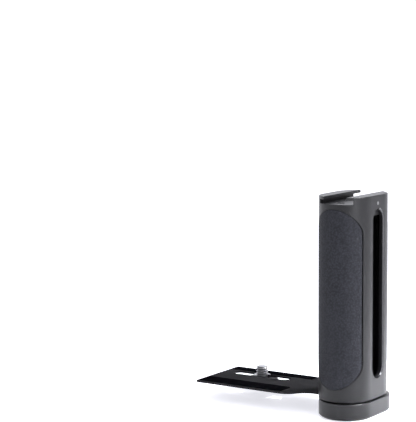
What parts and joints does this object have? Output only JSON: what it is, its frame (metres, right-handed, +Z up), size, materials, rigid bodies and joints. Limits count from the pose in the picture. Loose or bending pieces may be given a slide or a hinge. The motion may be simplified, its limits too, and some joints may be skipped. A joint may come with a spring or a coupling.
{
  "type": "camera l-bracket",
  "caption": "Upright oval hand grip with rubber pads, side slot and accessory shoe on top, and a flat arm at its foot with a captive screw for a camera.",
  "frame": {"origin": "mouth of the tripod socket, in the middle of the grip's foot on its underside", "axes": "+Z up along the grip, -X along the camera arm, +X the outer side with the long slot, -Y the lens side"},
  "size_m": [0.0987, 0.0454, 0.1124],
  "materials": {
    "grip_metal": "satin black anodised, drawn lengthwise",
    "foot_metal": "satin black anodised",
    "shoe_metal": "satin black anodised, milled",
    "pad_rubber": "matt, finely grained",
    "strip_rubber": "matt, finely ribbed",
    "gasket_rubber": "matt",
    "tape": "sticky foam tape",
    "arm_steel": "satin black powder coat on steel sheet",
    "black_steel": "blackened steel",
    "bare_steel": "bare steel, turned",
    "head_metal": "black anodised, knurled",
    "nylon": "black nylon"
  },
  "bodies": {
    "grip": {"grip_column": "grip_metal", "front_grip_pad": "pad_rubber", "front_pad_tape": "tape", "rear_grip_pad": "pad_rubber", "rear_pad_tape": "tape", "shoe_block": "shoe_metal", "shoe_screws": "black_steel", "shoe_pin": "bare_steel", "foot": "foot_metal", "tripod_bush": "bare_steel", "foot_screws": "black_steel", "seam_gasket": "gasket_rubber", "camera_arm": "arm_steel", "front_rubber_strip": "strip_rubber", "rear_rubber_strip": "strip_rubber"},
    "screw_slider": {"friction_washer": "nylon"},
    "camera_screw": {"screw_head": "head_metal", "screw_stud": "bare_steel", "retaining_clip": "bare_steel"},
    "ring": {"folding_ring": "bare_steel"}
  },
  "joints": [
    {"name": "screw_slide", "type": "slide", "parent": "grip", "child": "screw_slider", "axis": [1, 0, 0], "range_m": [-0.014, 0.014]},
    {"name": "screw_turn", "type": "hinge", "parent": "screw_slider", "child": "camera_screw", "pos_m": [-0.06, 0.00865, 0.0092], "axis": [0, 0, 1], "continuous": true},
    {"name": "ring_fold", "type": "hinge", "parent": "camera_screw", "child": "ring", "pos_m": [-0.06, 0.00865, 0.00558], "axis": [0, -1, 0], "range_deg": [0, 180]}
  ]
}
